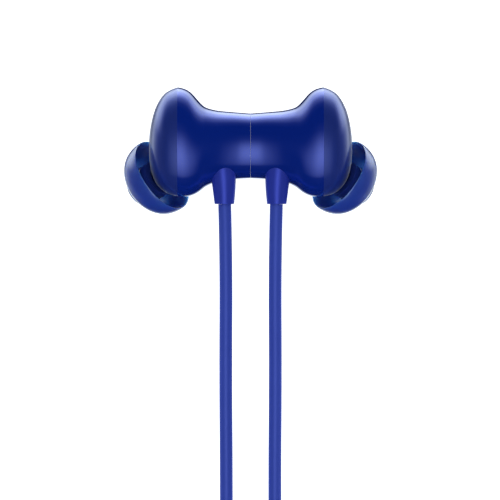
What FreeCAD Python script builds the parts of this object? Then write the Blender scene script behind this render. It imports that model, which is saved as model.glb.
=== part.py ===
"""Neckband earphones: two in-ear buds held back to back by magnets, two cords, two pods and a flexible neckband.

Millimetres. +Z is up and the object lies flat on the plane z = 0, with its pods towards -Y.
The origin is on that plane, under the middle of the box around the neckband and the buds.
Pieces of the left side are built at -X and mirrored to +X where the right side has the same piece.
"""

import FreeCAD, Part
import math
import os

from FreeCAD import Vector

# Neckband
NECKBAND_LENGTH = 176.0  # from the outside of the nape to the tips of the pods' strain reliefs
NECKBAND_WIDTH = 142.0  # over the outer faces of the pods
BAND_WIDTH = 6.0
BAND_HEIGHT = 5.0
BAND_CORNER = 2.2
SPRING_WIRE_RADIUS = 0.45
SPRING_WIRE_OFFSET = -1.1  # across the band, from its middle
LINK_CABLE_RADIUS = 0.7
LINK_CABLE_OFFSET = 1.05
CHANNEL_CLEARANCE = 0.06
TONGUE_WIDTH = 4.8  # the band's narrower end, inside the collar
TONGUE_HEIGHT = 3.2
TONGUE_LENGTH = 9.0

# Pods
POD_LENGTH = 60.0
POD_WIDTH = 12.6
POD_HEIGHT = 9.0
POD_WALL = 1.2
POD_PLAN_RADIUS = 5.2
POD_EDGE_RADIUS = 2.6
LIP_HEIGHT = 0.8
LIP_WALL = 0.6
FIT_GAP = 0.06  # between glued or snapped pieces of one housing
COLLAR_LENGTH = 13.0
COLLAR_OVERLAP = 3.0  # of the collar over the pod's rounded end
COLLAR_TONGUE = (5.2, 1.9, 3.6)  # through the pod's wall: width, length and height
COLLAR_TONGUE_FLOOR = 1.5
WIRE_TAIL = 3.0  # spring wire beyond the band's end
CABLE_TAIL = 9.0  # link cable beyond the band's end

# Cords and their strain reliefs
CORD_DIAMETER = 2.05
POD_RELIEF_LENGTH = 8.0
POD_RELIEF_BASE_RADIUS = 2.3
POD_RELIEF_TIP_RADIUS = 1.5
POD_SPIGOT_RADIUS = 1.5
BUD_RELIEF_TIP_RADIUS = 1.6
BUD_RELIEF_BASE_RADIUS = 2.15
RELIEF_FLANGE = 0.7

# Buds: reach is measured outwards from the mating plane, height from the axis of the neck
BUD_Y = 28.0
BUD_Z = 8.49
MATING_GAP = 0.05  # from the mating plane to each bud's face
BUD_WALL = 1.2
SEAM_REACH = 12.15  # parting plane between the rear and the front shell
BULB_REACH = 11.0  # widest part of the bulb
# (reach, top, bottom, half depth) of each cross-section, an upright ellipse
BUD_SECTIONS = [
    (0.0, 5.38, -5.33, 4.70),
    (2.3, 5.56, -5.45, 4.90),
    (4.5, 5.74, -5.68, 5.34),
    (6.7, 6.08, -6.22, 5.92),
    (7.5, 6.45, -6.75, 6.15),
    (8.3, 7.10, -7.45, 6.36),
    (9.2, 8.15, -8.02, 6.58),
    (10.0, 8.95, -8.32, 6.79),
    (10.8, 9.45, -8.45, 6.94),
    (11.6, 9.68, -8.36, 7.06),
    (12.15, 9.74, -8.20, 7.08),
    (13.3, 9.24, -7.85, 6.80),
    (14.2, 8.70, -7.40, 6.36),
    (15.0, 7.70, -6.75, 5.66),
    (15.7, 6.25, -5.85, 4.74),
    (16.2, 4.75, -4.75, 3.64),
    (16.6, 2.95, -3.20, 2.34),
    (16.85, 1.10, -1.50, 1.07),
]
RELIEF_REACH = 4.25
RELIEF_DEPTH = 2.0  # the relief's axis, above the axis of the neck
RELIEF_TOP = -3.15
RELIEF_END = -9.70
ANCHOR_RADIUS = 1.0
ANCHOR_LENGTH = 1.8
SNAP_MAGNET_RADIUS = 2.9
SNAP_MAGNET_THICKNESS = 1.6

# Driver, on an axis parallel to the neck
DRIVER_Y = 0.45
DRIVER_CLEARANCE = 0.33  # from the flange to the shell's wall at the seam
DRIVER_BACK = 9.3
DRIVER_FRONT = 12.3
DRIVER_WALL = 0.4
DRIVER_FLANGE = 0.55
DRIVER_MAGNET_RADIUS = 3.2
DRIVER_MAGNET_THICKNESS = 1.8
DIAPHRAGM_THICKNESS = 0.2
DIAPHRAGM_RISE = 0.7
CARRIER_THICKNESS = 1.6

# Nozzle and ear tip, on an axis that leans outwards, down the bud and towards the table
TIP_CENTRE = Vector(15.03, -5.02, -2.15)  # reach, height and depth of the middle of the skirt's open rim
TIP_DIRECTION = Vector(0.728, -0.491, -0.479)
TIP_RADIUS = 6.33
TIP_LENGTH = 6.3
TIP_WALL = 0.55
TIP_FRONT_RADIUS = 2.75
TIP_MOUTH_RADIUS = 1.85
STEM_WALL = 0.6
STEM_BACK = 1.95
NOZZLE_RADIUS = 2.25
NOZZLE_LIP_RADIUS = 2.45
NOZZLE_LIP_LENGTH = 0.7
NOZZLE_BORE_RADIUS = 1.7
NOZZLE_END = 5.5
NOZZLE_SHOULDER_RADIUS = 3.1
TIP_CLEARANCE = 0.06
MESH_THICKNESS = 0.2
MESH_HOLE_RADIUS = 0.17
MESH_PITCH = 0.55

# Controls and electronics in the right pod, battery in the left pod
BUTTON_WIDTH = 5.6
BUTTON_LENGTHS = {"volume_up": 6.4, "multifunction": 7.6, "volume_down": 6.4}
BUTTON_SPACING = 9.4
BUTTONS_MIDDLE = 2.0  # along the pod, from its middle
BUTTON_PROUD = 0.6
BUTTON_TRAVEL = 0.3
BUTTON_GAP = 0.12
BUTTON_LIFT = 0.05  # between the button's flange and the wall above it
BUTTON_FLANGE = 0.6
BUTTON_FLANGE_THICKNESS = 0.5
BUTTON_CORNER = 1.8
BUTTON_EDGE = 0.35
PLUNGER_RADIUS = 0.8
DOME_RADIUS = 1.6
DOME_HEIGHT = 0.5
DOME_CLEARANCE = 0.06  # left under the plunger when the button is fully pressed
KEY_BOARD = (6.6, 26.0, 0.6)
KEY_BOARD_PILLAR = (5.0, 1.5)
MAIN_BOARD = (9.2, 50.0, 0.8)
RIB_PLACES = (-0.39, -0.31, -0.1, 0.1, 0.31)  # shares of the pod's length, from its middle
RIB_THICKNESS = 1.0
RIB_HEIGHT = 0.9
USB_WIDTH = 8.94
USB_HEIGHT = 3.16
USB_DEPTH = 7.3
USB_CORNER = 1.3
USB_SHELL = 0.28
USB_TONGUE = (4.4, 6.6, 0.7)
USB_RECESS = 0.15  # the socket's mouth, behind the pod's outer face
USB_PLACE = 20.5  # along the pod, from its middle
MICROPHONE = (2.8, 3.6, 1.1)
SOUND_HOLE_RADIUS = 0.45
MICROPHONE_PLACE = -21.0
GASKET_RADIUS = 1.2
LIGHT_RADIUS = 0.6
LIGHT = (1.6, 0.9, 0.6)
LIGHT_PLACE = -14.5
SHIELD = (7.4, 9.0, 1.5)
BATTERY_LENGTH = 41.0
BATTERY_SIDE_CLEARANCE = 0.14  # to the lower shell's lip
BATTERY_TOP_CLEARANCE = 0.5
BATTERY_PLACE = 4.0
PROTECTION_BOARD = (7.6, 7.0, 0.8)
PROTECTION_BOARD_PLACE = -21.5

# The cords' routes along the table: towards the object's outside, along Y, and height above the table.
# The first points are placed from the bud's strain relief, the last ones from the pod's.
STRAIGHT_FROM_BUD = 9.8
STRAIGHT_FROM_POD = 9.0
LEFT_FROM_BUD = [
    (-0.22, -28.30, 5.00),
    (-0.32, -46.80, 1.20),
    (-0.20, -74.30, 1.10),
    (0.50, -108.30, 1.12),
    (4.70, -140.30, 1.10),
]
LEFT_FROM_POD = [
    (-40.70, -57.50, 1.12),
    (-17.70, -59.00, 1.10),
    (-2.20, -41.50, 1.12),
    (1.20, -24.50, 1.30),
]
RIGHT_FROM_BUD = [
    (-0.25, -28.50, 5.00),
    (-0.30, -46.80, 1.20),
    (-0.08, -75.30, 1.10),
    (1.10, -110.30, 1.12),
    (6.70, -143.30, 1.10),
]
RIGHT_FROM_POD = [
    (-36.70, -60.50, 1.12),
    (-13.70, -58.50, 1.10),
    (-0.20, -40.00, 1.12),
    (1.40, -23.50, 1.30),
]
ARC_SHARE = 0.45  # of the shorter run, taken by each rounded corner

POD_X = -(NECKBAND_WIDTH - POD_WIDTH) / 2
BAND_RADIUS = -POD_X
NAPE_Y = NECKBAND_LENGTH / 2 - BAND_WIDTH / 2 - BAND_RADIUS  # middle of the nape's arc
POD_FRONT = -NECKBAND_LENGTH / 2 + POD_RELIEF_LENGTH
POD_BACK = POD_FRONT + POD_LENGTH
POD_MIDDLE = (POD_FRONT + POD_BACK) / 2
BAND_Z = BAND_HEIGHT / 2
COLLAR_END = POD_BACK + COLLAR_LENGTH
BAND_END = COLLAR_END - TONGUE_LENGTH
POD_Z = POD_HEIGHT / 2
BOARD_Z = POD_WALL + RIB_HEIGHT
BATTERY_WIDTH = POD_WIDTH - 2 * (POD_WALL + FIT_GAP + LIP_WALL + BATTERY_SIDE_CLEARANCE)
BATTERY_HEIGHT = POD_HEIGHT - POD_WALL - BATTERY_TOP_CLEARANCE - BOARD_Z
MAIN_BOARD_TOP = BOARD_Z + MAIN_BOARD[2]
BUTTONS_Y = POD_MIDDLE + BUTTONS_MIDDLE
FLANGE_TOP = POD_HEIGHT - POD_WALL - BUTTON_LIFT
FLANGE_BOTTOM = FLANGE_TOP - BUTTON_FLANGE_THICKNESS
DOME_TOP = FLANGE_BOTTOM - BUTTON_TRAVEL - DOME_CLEARANCE - 0.55
PLUNGER_END = DOME_TOP + BUTTON_TRAVEL + DOME_CLEARANCE
KEY_BOARD_Z = DOME_TOP - DOME_HEIGHT - KEY_BOARD[2]
X_AXIS, Y_AXIS, Z_AXIS = Vector(1, 0, 0), Vector(0, 1, 0), Vector(0, 0, 1)
FAR = 200.0


def box(low, high):
    """A block between two corners."""
    size = [high[i] - low[i] for i in range(3)]
    return Part.makeBox(*size, Vector(*low))


def block(size, x, y, low_z):
    """A block of size (x, y, z), centred on (x, y) and standing on low_z."""
    return Part.makeBox(*size, Vector(x - size[0] / 2, y - size[1] / 2, low_z))


def mirrored(shape):
    return shape.mirror(Vector(0, 0, 0), X_AXIS)


def one_solid(shape):
    """The shape as one clean solid, without the seams that booleans leave on a face."""
    return shape.removeSplitter().Solids[0]


# Left bud


def bud_point(reach, height, depth):
    """A point of the left bud in the object's frame."""
    return Vector(-MATING_GAP - reach, BUD_Y + height, BUD_Z + depth)


def bud_vector(direction):
    return Vector(-direction.x, direction.y, direction.z).normalize()


def bud_ellipse(reach, top, bottom, half_depth):
    centre = bud_point(reach, (top + bottom) / 2, 0)
    half_height = (top - bottom) / 2
    ellipse = Part.Ellipse(centre + Y_AXIS * half_height, centre + Z_AXIS * half_depth, centre)
    return Part.Wire(ellipse.toShape())


def half_depth_at(reach):
    """The bud's half depth at a place between two of its sections."""
    for low, high in zip(BUD_SECTIONS, BUD_SECTIONS[1:]):
        if low[0] <= reach <= high[0]:
            share = (reach - low[0]) / (high[0] - low[0])
            return low[3] + (high[3] - low[3]) * share


# The driver's flange fills the bulb at the seam
DRIVER_RADIUS = half_depth_at(SEAM_REACH) - BUD_WALL - DRIVER_CLEARANCE - DRIVER_FLANGE


def bud_body(inset):
    """The outside of the bud as one solid, moved inwards by inset all round but at the mating face."""
    last = BUD_SECTIONS[-1][0]
    squeeze = (last - BULB_REACH - inset) / (last - BULB_REACH)
    rings = []
    for reach, top, bottom, half_depth in BUD_SECTIONS:
        if reach > BULB_REACH:
            reach = BULB_REACH + (reach - BULB_REACH) * squeeze
        if top - inset > 0.3:
            rings.append(bud_ellipse(reach, top - inset, bottom + inset, half_depth - inset))
    return Part.makeLoft(rings, True, False)


def bud_slab(low_reach, high_reach):
    """All space between two planes across the bud."""
    return box(
        (-MATING_GAP - high_reach, BUD_Y - FAR, BUD_Z - FAR),
        (-MATING_GAP - low_reach, BUD_Y + FAR, BUD_Z + FAR),
    )


def bud_disc(radius, low_reach, high_reach, height=0.0):
    """A disc or cylinder across the bud, on an axis at that height."""
    return Part.makeCylinder(radius, high_reach - low_reach, bud_point(low_reach, height, 0), -X_AXIS)


def tip_point(along):
    return bud_point(*TIP_CENTRE) + bud_vector(TIP_DIRECTION) * along


def tip_cylinder(radius, low, high):
    return Part.makeCylinder(radius, high - low, tip_point(low), bud_vector(TIP_DIRECTION))


def relief_cone(clearance=0.0):
    start = bud_point(RELIEF_REACH, RELIEF_END - clearance, RELIEF_DEPTH)
    tip, base = BUD_RELIEF_TIP_RADIUS + clearance, BUD_RELIEF_BASE_RADIUS + clearance
    return Part.makeCone(tip, base, RELIEF_TOP - RELIEF_END + 2 * clearance, start, Y_AXIS)


def bud_cavity():
    return bud_body(BUD_WALL).common(bud_slab(BUD_WALL, FAR))


def rear_shell():
    """The neck of the bud and the inner half of its bulb, closed by the mating face."""
    shell = bud_body(0.0).common(bud_slab(0.0, SEAM_REACH)).cut(bud_cavity())
    seat = bud_disc(DRIVER_RADIUS + FIT_GAP, DRIVER_BACK - FIT_GAP, SEAM_REACH, DRIVER_Y)
    return one_solid(shell.cut([relief_cone(FIT_GAP), cable_anchor(FIT_GAP), seat]))


def front_shell():
    """The outer half of the bulb, with the nozzle."""
    bulb = bud_body(0.0).common(bud_slab(SEAM_REACH, FAR))
    shoulder = tip_cylinder(NOZZLE_SHOULDER_RADIUS, -2.0, STEM_BACK - 0.15)
    nozzle = tip_cylinder(NOZZLE_RADIUS, -2.0, NOZZLE_END)
    lip = tip_cylinder(NOZZLE_LIP_RADIUS, NOZZLE_END - NOZZLE_LIP_LENGTH, NOZZLE_END)
    solid = bulb.fuse([shoulder, nozzle, lip]).common(bud_slab(SEAM_REACH, FAR)).cut(bud_cavity())
    return one_solid(solid.cut(tip_cylinder(NOZZLE_BORE_RADIUS, -4.0, NOZZLE_END + 1)))


def dome_point(radius, inset):
    """A point of the ear tip's dome at that distance from its axis, in the plane that is turned."""
    across, along = TIP_RADIUS - inset, TIP_LENGTH - inset
    return Vector(radius, 0, along * math.sqrt(max(0.0, 1 - (radius / across) ** 2)))


def dome_curve(first, last, inset, count=9):
    """The dome's outline between two distances from the axis."""
    across, along = TIP_RADIUS - inset, TIP_LENGTH - inset
    low, high = math.acos(first / across), math.acos(last / across)
    angles = [low + (high - low) * i / (count - 1) for i in range(count)]
    curve = Part.BSplineCurve()
    curve.interpolate([Vector(across * math.cos(t), 0, along * math.sin(t)) for t in angles])
    return curve.toShape()


def ear_tip():
    """A domed silicone skirt on a stem that grips the nozzle, turned from one outline."""
    bore = NOZZLE_LIP_RADIUS + TIP_CLEARANCE
    stem = bore + STEM_WALL
    seat = NOZZLE_END + 2 * TIP_CLEARANCE
    inner_radius = TIP_RADIUS - TIP_WALL
    rim_middle = Vector(TIP_RADIUS - TIP_WALL / 2, 0, -TIP_WALL / 2)
    shoulder = dome_point(TIP_FRONT_RADIUS, 0.0)
    corners = [
        Vector(TIP_MOUTH_RADIUS, 0, TIP_LENGTH - 0.15),
        Vector(TIP_MOUTH_RADIUS, 0, seat),
        Vector(bore, 0, seat),
        Vector(bore, 0, STEM_BACK),
        Vector(stem, 0, STEM_BACK),
        dome_point(stem, TIP_WALL),
    ]
    front_middle = (shoulder + corners[0]) * 0.5 + Vector(0.12, 0, 0.12)
    edges = [Part.Arc(Vector(inner_radius, 0, 0), rim_middle, Vector(TIP_RADIUS, 0, 0)).toShape()]
    edges.append(dome_curve(TIP_RADIUS, TIP_FRONT_RADIUS, 0.0))
    edges.append(Part.Arc(shoulder, front_middle, corners[0]).toShape())
    edges += [Part.LineSegment(low, high).toShape() for low, high in zip(corners, corners[1:])]
    edges.append(dome_curve(stem, inner_radius, TIP_WALL))
    turned = Part.Face(Part.Wire(edges)).revolve(Vector(0, 0, 0), Z_AXIS, 360)
    turn = FreeCAD.Rotation(Z_AXIS, bud_vector(TIP_DIRECTION))
    turned.Placement = FreeCAD.Placement(tip_point(0.0), turn)
    return turned


def nozzle_mesh():
    """A fine perforated disc across the end of the nozzle's bore."""
    low = NOZZLE_END - 0.2 - MESH_THICKNESS
    disc = tip_cylinder(NOZZLE_BORE_RADIUS - FIT_GAP, low, low + MESH_THICKNESS)
    axis = bud_vector(TIP_DIRECTION)
    across = axis.cross(Z_AXIS).normalize()
    up = across.cross(axis).normalize()
    holes = []
    for row in range(-2, 3):
        for column in range(-2, 3):
            x = (column + row % 2 / 2) * MESH_PITCH
            y = row * MESH_PITCH * math.sqrt(3) / 2
            if math.hypot(x, y) + MESH_HOLE_RADIUS < NOZZLE_BORE_RADIUS - 0.2:
                start = tip_point(low - 0.5) + across * x + up * y
                holes.append(Part.makeCylinder(MESH_HOLE_RADIUS, MESH_THICKNESS + 1, start, axis))
    return one_solid(disc.cut(holes))


def bud_strain_relief():
    """A tapered boot. Its top is inside the rear shell, and its lower end holds the cord."""
    return relief_cone()


def cable_anchor(clearance=0.0):
    """The crimp that keeps the cord from being pulled out of the bud."""
    start = bud_point(RELIEF_REACH, RELIEF_TOP, RELIEF_DEPTH)
    return Part.makeCylinder(ANCHOR_RADIUS + clearance, ANCHOR_LENGTH + clearance, start, Y_AXIS)


def snap_magnet():
    return bud_disc(SNAP_MAGNET_RADIUS, BUD_WALL, BUD_WALL + SNAP_MAGNET_THICKNESS)


def driver_frame():
    """A cup with a flange round its open front."""
    cup = bud_disc(DRIVER_RADIUS, DRIVER_BACK, DRIVER_FRONT, DRIVER_Y)
    flange = bud_disc(
        DRIVER_RADIUS + DRIVER_FLANGE, DRIVER_FRONT, DRIVER_FRONT + DRIVER_WALL, DRIVER_Y
    )
    inside = bud_disc(
        DRIVER_RADIUS - DRIVER_WALL, DRIVER_BACK + DRIVER_WALL, DRIVER_FRONT + 1, DRIVER_Y
    )
    return one_solid(cup.fuse(flange).cut(inside))


def driver_magnet():
    start = DRIVER_BACK + DRIVER_WALL
    return bud_disc(DRIVER_MAGNET_RADIUS, start, start + DRIVER_MAGNET_THICKNESS, DRIVER_Y)


def driver_diaphragm():
    """A thin disc with a shallow dome, at the mouth of the driver's frame."""
    radius = DRIVER_RADIUS - DRIVER_WALL - CHANNEL_CLEARANCE
    disc = bud_disc(radius, DRIVER_FRONT, DRIVER_FRONT + DIAPHRAGM_THICKNESS, DRIVER_Y)
    dome_radius = radius * 0.5
    ball = (dome_radius**2 + DIAPHRAGM_RISE**2) / (2 * DIAPHRAGM_RISE)
    middle = bud_point(DRIVER_FRONT + DIAPHRAGM_THICKNESS + DIAPHRAGM_RISE - ball, DRIVER_Y, 0)
    dome = Part.makeSphere(ball, middle).common(
        bud_slab(DRIVER_FRONT, DRIVER_FRONT + DIAPHRAGM_THICKNESS + DIAPHRAGM_RISE + 1)
    )
    hollow = Part.makeSphere(ball - DIAPHRAGM_THICKNESS, middle)
    return one_solid(disc.fuse(dome).cut(hollow))


def driver_carrier():
    """A ring that fills the space between the driver and the rear shell."""
    high = SEAM_REACH - CHANNEL_CLEARANCE
    plug = bud_body(BUD_WALL + 2 * FIT_GAP).common(bud_slab(high - CARRIER_THICKNESS, high))
    bore = bud_disc(DRIVER_RADIUS + CHANNEL_CLEARANCE, DRIVER_BACK - 5, DRIVER_FRONT + 5, DRIVER_Y)
    return one_solid(plug.cut(bore))


# Left cord and right cord


def cord_points(side, from_bud, from_pod):
    """The corners of a cord's route from the bud's strain relief to the pod's. Side is -1 or 1."""
    bud_end = bud_point(RELIEF_REACH, RELIEF_END, RELIEF_DEPTH)
    pod_end = Vector(POD_X, POD_FRONT - POD_RELIEF_LENGTH, POD_Z)
    points = [bud_end, bud_end - Y_AXIS * STRAIGHT_FROM_BUD]
    points += [Vector(bud_end.x - out, bud_end.y + along, z) for out, along, z in from_bud]
    points += [Vector(pod_end.x - out, pod_end.y + along, z) for out, along, z in from_pod]
    points += [pod_end - Y_AXIS * STRAIGHT_FROM_POD, pod_end]
    return [Vector(-side * point.x, point.y, point.z) for point in points]


def rounded_corner(before, corner, after):
    """The ends and the middle of the arc that rounds a corner of a route, and its radius."""
    into, out = (corner - before).normalize(), (after - corner).normalize()
    half = math.acos(max(-1.0, min(1.0, into.dot(out)))) / 2
    cut_back = ARC_SHARE * min((corner - before).Length, (after - corner).Length)
    radius = cut_back / math.tan(half)
    middle = corner + (out - into).normalize() * (radius / math.cos(half) - radius)
    return corner - into * cut_back, middle, corner + out * cut_back, radius


def path_edges(points, start, end):
    """Straight runs and tangent arcs round the inner points of a route, from start to end."""
    edges, radii, at = [], [], start
    for before, corner, after in zip(points, points[1:], points[2:]):
        first, middle, last, radius = rounded_corner(before, corner, after)
        radii.append(round(radius, 1))
        edges.append(Part.LineSegment(at, first).toShape())
        edges.append(Part.Arc(first, middle, last).toShape())
        at = last
    edges.append(Part.LineSegment(at, end).toShape())
    return edges, radii


def tube(edges, radii):
    """A round tube along a path of edges."""
    path = Part.Wire(edges)
    first = edges[0]
    start, direction = first.valueAt(first.FirstParameter), first.tangentAt(first.FirstParameter)
    ring = Part.Wire(Part.Circle(start, direction, CORD_DIAMETER / 2).toShape())
    solid = path.makePipeShell([ring], True, False)
    expected = math.pi * (CORD_DIAMETER / 2) ** 2 * path.Length
    print(f"  {path.Length:.1f} mm, radii {radii}, volume over section x length {solid.Volume / expected:.4f}")
    return solid


def cord_spans(side, from_bud, from_pod):
    """The two spans of a cord, which meet half way between the two halves of its route."""
    points = cord_points(side, from_bud, from_pod)
    split = 1 + len(from_bud)
    meet = (points[split] + points[split + 1]) * 0.5
    bud_side = path_edges(points[: split + 2], points[0], meet)
    pod_side = path_edges(points[split:], meet, points[-1])
    return tube(*bud_side), tube(*pod_side)


# Neckband


def rounded_section(width, height, corner, centre):
    """A rounded rectangle across the Y axis, as a wire."""
    half_x, half_z = width / 2, height / 2
    core = box(
        (centre.x - half_x, centre.y, centre.z - half_z),
        (centre.x + half_x, centre.y + 1, centre.z + half_z),
    )
    along = [e for e in core.Edges if abs(e.tangentAt(e.FirstParameter).y) > 0.99]
    solid = core.makeFillet(corner, along)
    faces = [f for f in solid.Faces if abs(f.CenterOfMass.y - centre.y) < 1e-6]
    return faces[0].OuterWire


def along_band(section):
    """A section of the left arm, carried up the arm, round the nape and down the right arm."""
    face = Part.Face(section)
    up = Vector(0, NAPE_Y - face.CenterOfMass.y, 0)
    arm = face.extrude(up)
    top = face.translated(up)
    nape = top.revolve(Vector(0, NAPE_Y, 0), -Z_AXIS, 180)
    return one_solid(arm.fuse([nape, mirrored(arm)]))


def round_section(offset, radius, y):
    """A round section of the left arm. Its offset is towards the outside of the neckband."""
    return Part.Wire(Part.Circle(Vector(POD_X - offset, y, BAND_Z), Y_AXIS, radius).toShape())


def band_tongue(clearance):
    """The left arm's narrower end, inside the collar."""
    width, height = TONGUE_WIDTH + 2 * clearance, TONGUE_HEIGHT + 2 * clearance
    low = (POD_X - width / 2, BAND_END - clearance, BAND_Z - height / 2)
    high = (POD_X + width / 2, COLLAR_END + clearance, BAND_Z + height / 2)
    return box(low, high)


def band_sleeve():
    """The flexible silicone sleeve, with a channel for the spring wire and one for the cable."""
    section = rounded_section(BAND_WIDTH, BAND_HEIGHT, BAND_CORNER, Vector(POD_X, COLLAR_END, BAND_Z))
    sleeve = along_band(section).fuse([band_tongue(0.0), mirrored(band_tongue(0.0))])
    wire = round_section(SPRING_WIRE_OFFSET, SPRING_WIRE_RADIUS + CHANNEL_CLEARANCE, BAND_END - 1)
    cable = round_section(LINK_CABLE_OFFSET, LINK_CABLE_RADIUS + CHANNEL_CLEARANCE, BAND_END - 1)
    return one_solid(sleeve.cut([along_band(wire), along_band(cable)]))


def spring_wire():
    return along_band(round_section(SPRING_WIRE_OFFSET, SPRING_WIRE_RADIUS, BAND_END - WIRE_TAIL))


def link_cable():
    return along_band(round_section(LINK_CABLE_OFFSET, LINK_CABLE_RADIUS, BAND_END - CABLE_TAIL))


# Pods


def pod_block(inset):
    """The left pod's outside as one solid, moved inwards by inset."""
    low = (POD_X - POD_WIDTH / 2 + inset, POD_FRONT + inset, inset)
    high = (POD_X + POD_WIDTH / 2 - inset, POD_BACK - inset, POD_HEIGHT - inset)
    solid = box(low, high)
    upright = [e for e in solid.Edges if abs(e.tangentAt(e.FirstParameter).z) > 0.99]
    solid = solid.makeFillet(POD_PLAN_RADIUS - inset, upright)
    level = [e for e in solid.Edges if e.BoundBox.ZLength < 1e-3]
    return solid.makeFillet(max(0.4, POD_EDGE_RADIUS - inset), level)


def pod_place(place):
    """How far along the object's Y axis a place on the pod is."""
    return POD_MIDDLE + place


def along_pod(radius, low_y, high_y, z, x=POD_X):
    return Part.makeCylinder(radius, high_y - low_y, Vector(x, low_y, z), Y_AXIS)


def upright_rod(radius, y, low_z, high_z):
    return Part.makeCylinder(radius, high_z - low_z, Vector(POD_X, y, low_z))


def rounded_block(size, y, low_z, corner):
    """A block on the pod's middle line, with its upright edges rounded."""
    solid = block(size, POD_X, y, low_z)
    upright = [e for e in solid.Edges if abs(e.tangentAt(e.FirstParameter).z) > 0.99]
    return solid.makeFillet(corner, upright)


def pod_end_cuts():
    """What both shells leave free for the strain relief at the front and for the collar at the back."""
    flange_start = POD_FRONT + POD_WALL
    spigot = along_pod(POD_SPIGOT_RADIUS + FIT_GAP, POD_FRONT - 1, flange_start + 1, POD_Z)
    flange_end = flange_start + FIT_GAP + RELIEF_FLANGE + FIT_GAP
    flange = along_pod(POD_RELIEF_BASE_RADIUS + FIT_GAP, flange_start, flange_end, POD_Z)
    return [spigot, flange, collar_tongue(FIT_GAP)]


def collar_tongue(clearance):
    width, length, height = [size + 2 * clearance for size in COLLAR_TONGUE]
    low_y = POD_BACK - length + clearance
    return block((width, length + 1, height), POD_X, low_y + (length + 1) / 2, COLLAR_TONGUE_FLOOR - clearance)


def pod_bottom():
    """The lower shell: a lip that the upper shell closes over, and ribs that carry what is inside."""
    lower = box((-FAR, -FAR, -1), (FAR, FAR, POD_Z))
    lip_zone = box((-FAR, -FAR, POD_Z - LIP_HEIGHT), (FAR, FAR, POD_Z + LIP_HEIGHT))
    inside_lip = pod_block(POD_WALL + FIT_GAP + LIP_WALL)
    shell = pod_block(0.0).common(lower).cut(pod_block(POD_WALL))
    lip = pod_block(POD_WALL + FIT_GAP).common(lip_zone).cut(inside_lip)
    root = pod_block(POD_WALL - FIT_GAP).common(lip_zone).common(lower).cut(inside_lip)
    ribs = []
    for share in RIB_PLACES:
        rib = (MAIN_BOARD[0], RIB_THICKNESS, RIB_HEIGHT + FIT_GAP)
        ribs.append(block(rib, POD_X, pod_place(share * POD_LENGTH), POD_WALL - FIT_GAP))
    ribs = [rib.common(pod_block(POD_WALL - FIT_GAP)) for rib in ribs]
    return shell.fuse([lip, root] + ribs).cut(pod_end_cuts())


def pod_top():
    upper = box((-FAR, -FAR, POD_Z), (FAR, FAR, FAR))
    return pod_block(0.0).common(upper).cut(pod_block(POD_WALL)).cut(pod_end_cuts())


def pod_strain_relief():
    """A tapered boot at the pod's front, with a spigot through the wall and a flange behind it."""
    tip = Vector(POD_X, POD_FRONT - POD_RELIEF_LENGTH, POD_Z)
    boot = Part.makeCone(POD_RELIEF_TIP_RADIUS, POD_RELIEF_BASE_RADIUS, POD_RELIEF_LENGTH, tip, Y_AXIS)
    flange_start = POD_FRONT + POD_WALL + FIT_GAP
    spigot = along_pod(POD_SPIGOT_RADIUS, POD_FRONT - 1, flange_start, POD_Z)
    flange = along_pod(POD_RELIEF_BASE_RADIUS, flange_start, flange_start + RELIEF_FLANGE, POD_Z)
    return one_solid(boot.fuse([spigot, flange]).cut(pod_front_face()))


def pod_front_face():
    """The pod's rounded front as a solid, without the way through it, so that the boot fits against it."""
    way = along_pod(POD_RELIEF_BASE_RADIUS + 1, POD_FRONT + POD_WALL, POD_MIDDLE, POD_Z)
    spigot = along_pod(POD_SPIGOT_RADIUS, POD_FRONT - 1, POD_MIDDLE, POD_Z)
    return pod_block(0.0).cut([way, spigot])


def band_collar():
    """A tapered collar that carries the pod's shape over into the band's, and holds the band's tongue."""
    sections = []
    for y, width, height, corner in (
        (POD_BACK - COLLAR_OVERLAP, 10.2, 7.2, 2.8),
        (POD_BACK + COLLAR_LENGTH * 0.38, 8.0, 6.2, 2.6),
        (COLLAR_END, BAND_WIDTH, BAND_HEIGHT, BAND_CORNER),
    ):
        lift = 0.5 * (COLLAR_END - y) / (COLLAR_LENGTH + COLLAR_OVERLAP)
        sections.append(rounded_section(width, height, corner, Vector(POD_X, y, height / 2 + lift)))
    collar = Part.makeLoft(sections, True, False).cut(pod_block(0.0))
    collar = collar.fuse(collar_tongue(0.0).cut(box((-FAR, POD_BACK, -1), (FAR, FAR, FAR))))
    pocket = band_tongue(CHANNEL_CLEARANCE)
    wire = along_pod(
        SPRING_WIRE_RADIUS + CHANNEL_CLEARANCE,
        BAND_END - WIRE_TAIL - CHANNEL_CLEARANCE,
        COLLAR_END,
        BAND_Z,
        POD_X - SPRING_WIRE_OFFSET,
    )
    cable = along_pod(
        LINK_CABLE_RADIUS + CHANNEL_CLEARANCE,
        BAND_END - CABLE_TAIL,
        COLLAR_END,
        BAND_Z,
        POD_X - LINK_CABLE_OFFSET,
    )
    return one_solid(collar.cut([pocket, wire, cable]))


# Battery side, left pod


def battery_cell():
    size = (BATTERY_WIDTH, BATTERY_LENGTH, BATTERY_HEIGHT)
    solid = block(size, POD_X, pod_place(BATTERY_PLACE), BOARD_Z)
    long_edges = [e for e in solid.Edges if abs(e.tangentAt(e.FirstParameter).y) > 0.99]
    return solid.makeFillet(1.0, long_edges)


def protection_board():
    return block(PROTECTION_BOARD, POD_X, pod_place(PROTECTION_BOARD_PLACE), BOARD_Z)


# Control side, built at the left like the rest and mirrored to the right pod


def button_places():
    """The name, the place along Y and the length of each button."""
    places = {}
    for step, name in enumerate(BUTTON_LENGTHS):
        places[name] = (BUTTONS_Y + (1 - step) * BUTTON_SPACING, BUTTON_LENGTHS[name])
    return places


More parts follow.
